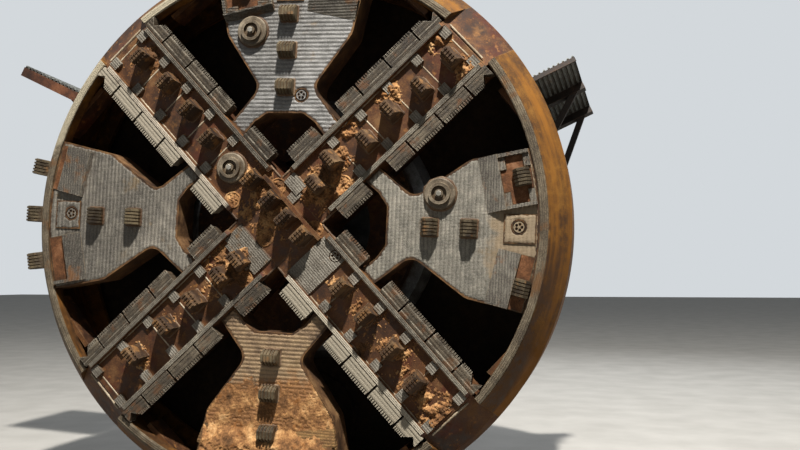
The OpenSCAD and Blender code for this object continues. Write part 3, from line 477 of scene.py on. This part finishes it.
# Rippers: cast blocks with ribs of carbide, welded to the plates. On the spokes they are dark and
# smeared with ochre mud, and on the panels they are dry and greyer.
dress(steel("ripper_muddy", ("1a110a", "35261a", "533f2c", "786043"), "83694a", "4d331c", metal=0.04,
            rough=(0.55, 0.88), patch=3.0, stains=(("8b643a", 0.5, 0.08),)),
      "rippers_ne", "rippers_se", "rippers_sw", "rippers_nw", "rippers_hub")
dress(steel("ripper_dry", ("1f1810", "393023", "524735", "70644c"), "84765b", "4d3720", metal=0.05,
            rough=(0.5, 0.85), patch=3.0, stains=(("7d5a35", 0.25, 0.08),)),
      "panel_tools_n", "panel_tools_e", "panel_tools_s", "panel_tools_w")

# Nozzle caps: turned steel rings round a plug, with a hexagon bolt in the middle. The rings are dull and
# dusty, and the bolts are worn to pale bare metal.
dress(steel("cap_steel", ("403629", "605546", "7a6e5d", "978b76"), "b0a184", "4a3822", metal=0.08,
            rough=(0.45, 0.75), patch=4.0), "nozzle_caps")


def hexagons(centres, out, half, tall):
    """Hexagon heads at centres [n, 3] that point along out, +1 or -1 on Y: six sides, a chamfer and a closed
    top, as a profile of (radius, height) turned through seven corners."""
    profile = np.array([(1.0, 0.0), (1.0, 0.82), (0.86, 1.0), (0.0, 1.0)])
    turn = np.linspace(0, 2 * math.pi, 7) * -out
    spread = profile[:, :1] * half
    grids = []
    for x, y, z in centres:
        grid = np.stack(np.broadcast_arrays(x + spread * np.sin(turn), y + out * tall * profile[:, 1:],
                                            z + spread * np.cos(turn)), axis=-1)
        grids.append((grid, np.ones(grid.shape[:2], dtype=bool)))
    return grids


bolt_steel = steel("bolt_steel", ("5c574e", "7d786d", "969186", "b3aea3"), "c9c4b8", "54452f", metal=0.6,
                   rough=(0.35, 0.6), patch=8.0, soil_and_shade_strength=0.4, shine=0.5)
# Clock angle, lateral and radius of each cap
caps = ((315, 0, 0.549), (0, -0.280, 1.412), (90, -0.236, 1.185))
cap_top = 0.0645
cap_centres = [on_head(angle, u, v, cap_top) for angle, u, v in caps]
sheets("cap_bolts", hexagons(cap_centres, -1, 0.021, 0.014), bolt_steel, smooth=False)

# Dried mud: ochre clay that clumps round the rippers' feet, fills corners and lies thick on the lower
# panel. It is a height field over each face: clumps at set places, raised or sunk by four sizes of noise.
clay = steel("dried_clay", ("4e3722", "865e3a", "b08252", "cfa674"), "bfa075", "36271a", metal=0.0,
             rough=(0.88, 0.98), patch=6.0, relief_m=0.009, soil_and_shade_strength=0.6,
             stains=(("8f5c2e", 0.35, 0.14), ("5a3b23", 0.24, 0.018)))
# Mud lower than hidden isn't made, and mud between the two lies at sunk, inside the plate
hidden, sunk = -0.010, -0.004
spoke_step, panel_step = 0.0045, 0.0065


def crumbs(x, z, seed):
    """Height of crumbling mud: soft noise 150 mm long, lumps of 45, 24 and 13 mm, and flat broken tops,
    since what stands over 10 mm is pressed down to a third."""
    height = 0
    for size, share in ((0.15, 0.0060), (0.045, 0.0042), (0.024, 0.0040), (0.013, 0.0028)):
        height = height + share * waves(x, z, size, seed + int(size * 1000))
    return np.minimum(height, 0.010 + 0.33 * (height - 0.010))


# Each clump is its lateral, radius along the spoke, half width and height
for spoke, angle, base, start, clumps in (
    ("ne", 45, -0.014, 0.23, (
        (-0.13, 1.22, 0.10, 0.050), (-0.15, 1.72, 0.08, 0.040), (0.16, 1.74, 0.09, 0.065),
        (0.02, 0.36, 0.14, 0.055), (-0.02, 0.62, 0.10, 0.040), (0.0, 0.90, 0.06, 0.025),
        (0.03, 1.42, 0.06, 0.02), (-0.15, 0.84, 0.08, 0.04), (0.16, 0.50, 0.08, 0.045))),
    ("se", 135, -0.013, 0.23, (
        (-0.04, 0.68, 0.10, 0.025), (-0.04, 0.95, 0.10, 0.028), (-0.02, 1.25, 0.11, 0.032),
        (0.01, 1.52, 0.12, 0.026), (0.05, 1.78, 0.12, 0.050), (0.16, 1.10, 0.07, 0.03))),
    ("sw", 225, -0.013, 0.23, (
        (0.0, 0.40, 0.12, 0.038), (0.0, 0.60, 0.11, 0.034), (0.0, 0.86, 0.08, 0.028),
        (0.02, 1.15, 0.08, 0.026), (0.02, 1.48, 0.09, 0.030))),
    ("nw", 315, -0.014, -0.18, (
        (0.07, 0.36, 0.12, 0.040), (0.03, 0.82, 0.07, 0.025), (0.06, 1.09, 0.07, 0.025),
        (0.07, 1.37, 0.09, 0.035), (0.05, 1.66, 0.09, 0.045), (-0.02, 0.10, 0.17, 0.035))),
):
    x, z = np.meshgrid(np.arange(-0.186, 0.187, spoke_step), np.arange(start, 1.84, spoke_step))
    mound = sum(h * np.exp(-((x - px) ** 2 + (z - pz) ** 2) / (r * r)) for px, pz, r, h in clumps)
    height = base + mound * (0.8 + 0.35 * waves(x, z, 0.10, angle + 3)) + crumbs(x, z, angle)
    sheets("clay_" + spoke, [(on_head(angle, x, z, np.maximum(height, sunk)), height > hidden)], clay)
x, z = np.meshgrid(np.arange(-0.61, 0.611, panel_step), np.arange(0.66, 1.87, panel_step))
room = np.minimum(inside(vase, x, z), facing_end - np.hypot(x, z))
thick = 0.0135 * np.clip((z - 0.98) / 0.30, 0, 1) + 0.062 * np.clip((z - 1.50) / 0.12, 0, 1) - 0.007
height = thick + 0.42 * crumbs(x, z, 7) + 0.8 * crumbs(x, z, 8) * np.clip((z - 1.35) / 0.3, 0, 1)
height = np.minimum(height, room * 1.6)
grid = on_head(180, x, z, np.maximum(height, sunk))
sheets("clay_panel", [(grid, (room > 0.004) & (height > hidden))], clay)

# Weld seams: fillets round the feet of the rippers, caps and plates, and pale seams across and along the
# spokes that join the wear pads. Each is a half round bead with ripples 12 mm apart, run along a path.
spokes = (45, 135, 225, 315)
# Lateral and radius of each ripper on the spoke at a clock angle, and the radius of each one on a panel
spoke_rippers = {
    45: ((0.030, 1.714), (0.035, 1.420), (0, 1.150), (0.035, 0.882), (-0.045, 0.599), (0.010, 0.400)),
    135: ((-0.044, 0.681), (-0.044, 0.950), (-0.024, 1.248), (0.010, 1.524)),
    225: ((-0.014, 0.405), (-0.007, 0.583), (0.005, 0.862), (0.015, 1.151), (0.020, 1.480)),
    315: ((0.045, 1.658), (0.070, 1.367), (0.060, 1.090), (0.032, 0.815), (0.070, 0.360), (0.070, 0.150),
          (0.070, -0.030), (0.070, -0.205)),
}
panel_rippers = {0: (0.995, 1.271, 1.542), 90: (1.121, 1.399), 180: (0.983, 1.243, 1.531),
                 270: (1.165, 1.479)}
# Half width and half length of a ripper's foot, and the radius of a cap's foot
foot_u, foot_v, cap_foot = 0.063, 0.058, 0.114


def bead(angle, path, half=0.009, tall=0.008, base=0.0, step=0.006, place=on_head):
    """Half round bead along a path of (lateral, radius) points: 7 points round the section at each step of
    the way, the height rippled with a sine and the width with noise."""
    ripple = 524  # radians a metre, for ripples 12 mm apart
    path = np.array(path, dtype=float)
    run = np.concatenate([[0], np.cumsum(np.hypot(*np.diff(path, axis=0).T))])
    way = np.linspace(0, run[-1], max(3, int(run[-1] / step)))
    u, v = np.interp(way, run, path[:, 0]), np.interp(way, run, path[:, 1])
    du, dv = np.gradient(u), np.gradient(v)
    size = np.hypot(du, dv)
    turn = np.linspace(0, math.pi, 7)
    grow = (1 + 0.2 * waves(way, way, 0.05, int(abs(path[0, 0]) * 1e4)))[:, None]
    across = -np.cos(turn) * half * grow
    lift = np.sin(turn) * tall * (1 + 0.25 * np.sin(way * ripple)[:, None])
    out_u, out_v = (dv / size)[:, None], (du / size)[:, None]
    grid = place(angle, u[:, None] + out_u * across, v[:, None] - out_v * across, base - 0.0015 + lift)
    return grid, np.ones(across.shape, dtype=bool)


def loop(u, v, half_u, half_v):
    """Corners of a rectangle round (u, v), as a closed path."""
    return [(u + a * half_u, v + b * half_v) for a, b in ((-1, -1), (1, -1), (1, 1), (-1, 1), (-1, -1))]


def hoop(u, v, radius):
    """Closed round path of 240 points round (u, v)."""
    t = np.linspace(0, 2 * math.pi, 241)
    return np.stack([u + radius * np.cos(t), v + radius * np.sin(t)], axis=1)


fillets = [bead(angle, loop(u, v, foot_u, foot_v))
           for angle, places in spoke_rippers.items() for u, v in places]
fillets += [bead(angle, loop(0, v, foot_u, foot_v), base=0.004)
            for angle, places in panel_rippers.items() for v in places]
fillets += [bead(angle, hoop(u, v, cap_foot), 0.011, 0.011, 0.003) for angle, u, v in caps]
for angle, x0, x1, z0, z1 in ((135, -0.189, 0.189, 0.315, 0.545), (225, -0.160, 0.189, 0.228, 0.395),
                              (45, -0.189, -0.050, 0.228, 0.330)):
    fillets.append(bead(angle, loop((x0 + x1) / 2, (z0 + z1) / 2, (x1 - x0) / 2, (z1 - z0) / 2)))
fillets += [bead(angle, ((side * 0.228, 0.24), (side * 0.228, 0.40)))
            for angle in spokes for side in (-1, 1)]
weld_brown = steel("weld_brown", ("2c2018", "4f3d2d", "6c5844", "8b7760"), "9a8668", "5e4026", metal=0.08,
                   rough=(0.45, 0.75))
sheets("weld_fillets", fillets, weld_brown)
first_seam, seam_pitch = 0.692, 0.279
seams = []
for angle in spokes:
    for i in range(5):
        z = first_seam + seam_pitch * i
        seams.append(bead(angle, ((-0.112, z), (0.112, z + 0.004)), 0.006, 0.005))
    for side, z0, z1 in ((1, 0.56, 1.80), (-1, 0.60, 1.55)):
        seams.append(bead(angle, ((side * 0.186, z0), (side * 0.186, z1)), 0.007, 0.006))
    seams.append(bead(angle, ((-0.17, 1.870), (0.17, 1.870)), 0.008, 0.007))
weld_pale = steel("weld_pale", ("786a55", "9c8d75", "bbad94", "d6cab2"), "d6cab2", "6b4f34", metal=0.02,
                  rough=(0.5, 0.8))
sheets("pale_seams", seams, weld_pale)

# Lifting sockets: round holes of 115 mm in the spokes' plates with a raised collar, packed with dried
# mud. Each is a disc of rings whose height gives the collar and the lumpy fill.
collar_r, fill_r, disc_r = 0.058, 0.054, 0.068
sockets = []
for angle, u, v in ((45, -0.328, 0.144), (45, -0.199, 0.167), (135, -0.161, 0.226), (225, 0.175, 0.489),
                    (225, 0.199, 0.647), (225, -0.126, 0.475), (315, -0.158, 0.371), (45, 0.129, 0.540),
                    (225, -0.011, 0.160)):
    ring, turn = np.meshgrid(np.linspace(0.001, disc_r, 20), np.linspace(2 * math.pi, 0, 49), indexing="ij")
    x, z = u + ring * np.sin(turn), v + ring * np.cos(turn)
    collar = np.exp(-((ring - collar_r) / 0.006) ** 2)
    fill = np.clip((fill_r - ring) / 0.01, 0, 1) * (0.006 + 0.004 * waves(x, z, 0.03, int(v * 1000)))
    sockets.append((on_head(angle, x, z, -0.001 + 0.009 * collar + fill), np.ones(ring.shape, dtype=bool)))
sheets("lifting_sockets", sockets, clay)

# Shell and bulkhead: rolled plate in dull red-brown primer, worn and rusting through, and the wall
# behind the head, painted nearly black as painted shade for the dark seen through the head's openings.
dress(steel("shell_primer", ("2c1f17", "503728", "664737", "7d5f4b"), "94765a", "3a281b", metal=0.02,
            rough=(0.5, 0.8), stains=(("6b4628", 0.35, 0.4), ("3a281c", 0.4, 0.15))), "shell")
# Painted shade: the bulkhead and the port gate are nearly black, for the dark seen through the openings.
dress(steel("muck_dark", ("15110d", "2b231b", "3b3025", "4d3f30"), "5a4a38", "17120d", metal=0.0,
            rough=(0.8, 0.95)), "bulkhead", "port_gate")

# Bearing housing, spigot and drives: turned steel with a thin film of grease, and gear motors in
# grey-green enamel, chipped at its edges. Rings of hexagon bolts hold the covers and the drives' feet.
dress(steel("bearing_steel", ("4c4b48", "6e6d6a", "858481", "9d9c99"), "b0aea8", "4f3a28", metal=0.7,
            rough=(0.3, 0.55), stains=(("6b5a44", 0.3, 0.3),), shine=0.5),
      "bearing_spigot", "bearing_housing")
enamel = steel("drive_paint", ("38463f", "4f6259", "5c7067", "6d8077"), "8a6a48", "3a3026", metal=0.0,
               rough=(0.35, 0.6), stains=(("4c4436", 0.3, 0.2),), shine=0.5)
dress(enamel, "drive_units", "muck_port")
housing, spigot, wall = (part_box(name) for name in ("bearing_housing", "bearing_spigot", "bulkhead"))
housing_r, housing_back, spigot_r, wall_r = housing[1][0], housing[1][1], spigot[1][0], wall[1][0]
foot_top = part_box("drive_units")[0][1] + 0.055
foot_ring = 0.170
drive_ring = housing_r + 0.22
drive_turns = np.arange(8) * math.pi / 4 + math.pi / 8
drive_places = [(drive_ring * math.sin(t), drive_ring * math.cos(t)) for t in drive_turns]
centres = [(r * math.sin(t), y, r * math.cos(t))
           for r, y, count in ((housing_r - 0.06, housing_back, 40), (housing_r - 0.28, housing_back, 32),
                               (spigot_r - 0.07, spigot[1][1], 24))
           for t in np.arange(count) * 2 * math.pi / count]
centres += [(x + foot_ring * math.sin(t), foot_top, z + foot_ring * math.cos(t))
            for x, z in drive_places for t in np.arange(10) * math.pi / 5]
sheets("carrier_bolts", hexagons(centres, 1, 0.014, 0.012), bolt_steel, body="carrier", smooth=False)

# Motor fins: cooling ribs cast with each motor's body, 26 to a motor, under the same enamel. They are
# thin square ribs that run from the brake to near the motor's end.
rib_section = np.array([(-0.003, 0.108), (-0.003, 0.121), (0.003, 0.121), (0.003, 0.108)])
rib_ends = np.array([0.350, 0.480]) + foot_top
fins = []
for x, z in drive_places:
    for t in np.arange(26) * math.pi / 13:
        rib_x = rib_section[:, 0] * math.cos(t) + rib_section[:, 1] * math.sin(t) + x
        rib_z = -rib_section[:, 0] * math.sin(t) + rib_section[:, 1] * math.cos(t) + z
        grid = np.stack(np.broadcast_arrays(rib_x, rib_ends[:, None], rib_z), axis=-1)
        fins.append((grid, np.ones((2, 4), dtype=bool)))
sheets("motor_fins", fins, enamel, body="carrier", smooth=False)


# Carrier welds: fillets where the bulkhead meets the shell and the housing, and along both sides of each
# rib. They are brown beads of 24 mm, laid by hand.
def behind(angle, lateral, radius, height):
    """Points on the bulkhead's rear face; lateral runs the other way from the head's, so faces point out."""
    t = np.radians(angle)
    return np.stack(np.broadcast_arrays(radius * np.sin(t) - lateral * np.cos(t), wall[1][1] + height,
                                        radius * np.cos(t) + lateral * np.sin(t)), axis=-1)


carrier_welds = [bead(0, hoop(0, 0, radius), 0.012, 0.011, step=0.010, place=behind)
                 for radius in (wall_r - 0.006, housing_r + 0.008)]
for angle in (0, 45, 90, 135, 225, 270, 315):
    for side in (-0.025, 0.025):
        path = ((side, housing_r + 0.01), (side, wall_r - 0.01))
        carrier_welds.append(bead(angle, path, 0.010, 0.009, place=behind))
sheets("carrier_welds", carrier_welds, weld_brown, body="carrier")

# Shell seams: two weld runs round the outside, where the shell's three rolled strakes meet. Each is a
# half round of 16 mm turned about the machine's axis, a little proud of the plate.
shell_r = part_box("shell")[1][2]
shell_seams = []
for y in (-0.42, -0.98):
    turn, section = np.meshgrid(np.linspace(0, 2 * math.pi, 361), np.linspace(0, math.pi, 7), indexing="ij")
    r = shell_r - 0.001 + 0.0045 * np.sin(section) * (1 + 0.25 * waves(turn * 2, section, 0.05, 3))
    grid = np.stack([r * np.sin(turn), y + 0.008 * np.cos(section), r * np.cos(turn)], axis=-1)
    shell_seams.append((grid, np.ones(turn.shape, dtype=bool)))
sheets("shell_seams", shell_seams, weld_brown, body="carrier")

# Side decks: corrugated zinc sheet on welded beams. The right deck's frame is in black paint and the
# left one's is bare and rusty.
dress(steel("deck_zinc", ("454845", "666966", "7c7f7a", "969993"), "a9aca6", "4d4438", metal=0.2,
            rough=(0.5, 0.75), patch=5.0, stains=(("6b5138", 0.25, 0.2),), shine=0.35),
      "deck_right", "deck_left")
dress(steel("frame_black", ("15120f", "26201b", "3a2f27", "5c4534"), "6e5540", "2b2018", metal=0.1,
            rough=(0.45, 0.75)), "deck_frame_right")
dress(steel("frame_rust", ("2a1a12", "4c2f20", "653f2a", "7c5238"), "8a6548", "2b1c12", metal=0.1,
            rough=(0.55, 0.85)), "deck_frame_left")
